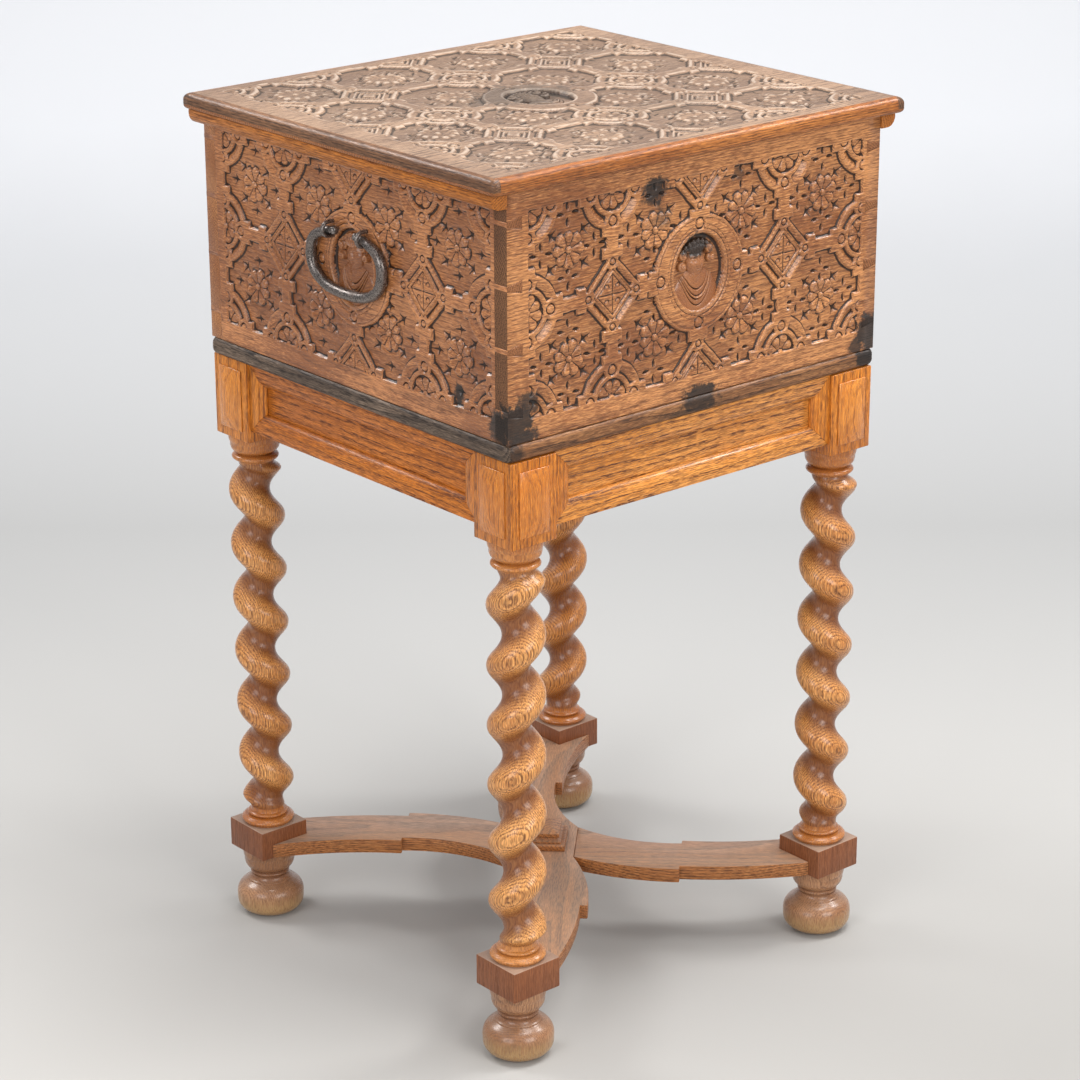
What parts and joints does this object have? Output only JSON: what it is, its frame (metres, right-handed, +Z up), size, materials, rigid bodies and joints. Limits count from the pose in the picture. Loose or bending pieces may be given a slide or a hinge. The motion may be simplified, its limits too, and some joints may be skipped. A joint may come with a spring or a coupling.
{
  "type": "bible box on stand",
  "caption": "Carved oak bible box with a hinged lid and iron bail handles, on a stand with barley twist legs, bun feet and a crossed stretcher",
  "frame": {"origin": "on the floor, under the middle of the whole object", "axes": "+X to the right seen from the front, +Y to the back, +Z up; the front of the box looks along -Y"},
  "size_m": [0.552, 0.518, 0.953],
  "materials": {
    "box_oak": "old carved oak, waxed, dark in the ground of the carving",
    "lid_oak": "old oak, dry and greyed on top, warmer at the edges",
    "stand_oak": "golden brown oak, polished, with open grain",
    "stretcher_oak": "oak, worn dull and greyish on top",
    "iron": "forged iron, black and lightly rusted"
  },
  "bodies": {
    "stand": {"leg_front_left": "stand_oak", "leg_back_left": "stand_oak", "leg_front_right": "stand_oak", "leg_back_right": "stand_oak", "apron_front": "stand_oak", "apron_back": "stand_oak", "apron_left": "stand_oak", "apron_right": "stand_oak", "apron_moulding_front": "stand_oak", "apron_moulding_back": "stand_oak", "apron_moulding_left": "stand_oak", "apron_moulding_right": "stand_oak", "block_panel_front_left_face": "stand_oak", "block_panel_front_left_side": "stand_oak", "block_panel_back_left_face": "stand_oak", "block_panel_back_left_side": "stand_oak", "block_panel_front_right_face": "stand_oak", "block_panel_front_right_side": "stand_oak", "block_panel_back_right_face": "stand_oak", "block_panel_back_right_side": "stand_oak", "stretcher_long_piece": "stretcher_oak", "stretcher_arm_left": "stretcher_oak", "stretcher_arm_right": "stretcher_oak", "plinth_base": "stand_oak", "plinth_cap": "stand_oak", "plinth_dowel": "stand_oak"},
    "box": {"box_front_board": "box_oak", "box_back_board": "box_oak", "box_left_end": "box_oak", "box_right_end": "box_oak", "box_bottom_board": "box_oak", "bottom_nails": "iron", "hinge_eye_left": "iron", "hinge_eye_right": "iron", "bail_staple_left_front": "iron", "bail_staple_left_back": "iron", "bail_staple_right_front": "iron", "bail_staple_right_back": "iron"},
    "lid": {"lid_board": "lid_oak", "lid_cleat_left": "lid_oak", "lid_cleat_right": "lid_oak", "cleat_nails": "iron", "hinge_staple_left": "iron", "hinge_staple_right": "iron"},
    "bail_left": {"bail_left": "iron"},
    "bail_right": {"bail_right": "iron"}
  },
  "joints": [
    {"name": "box_lift", "type": "slide", "parent": "stand", "child": "box", "axis": [0, 0, 1], "range_m": [0, 0.3]},
    {"name": "lid_hinge", "type": "hinge", "parent": "box", "child": "lid", "pos_m": [0, 0.2538, 0.929], "axis": [-1, 0, 0], "range_deg": [0, 100]},
    {"name": "bail_left_hinge", "type": "hinge", "parent": "box", "child": "bail_left", "pos_m": [-0.2587, 0, 0.848], "axis": [0, 1, 0], "range_deg": [0, 170]},
    {"name": "bail_right_hinge", "type": "hinge", "parent": "box", "child": "bail_right", "pos_m": [0.2587, 0, 0.848], "axis": [0, -1, 0], "range_deg": [0, 170]}
  ]
}
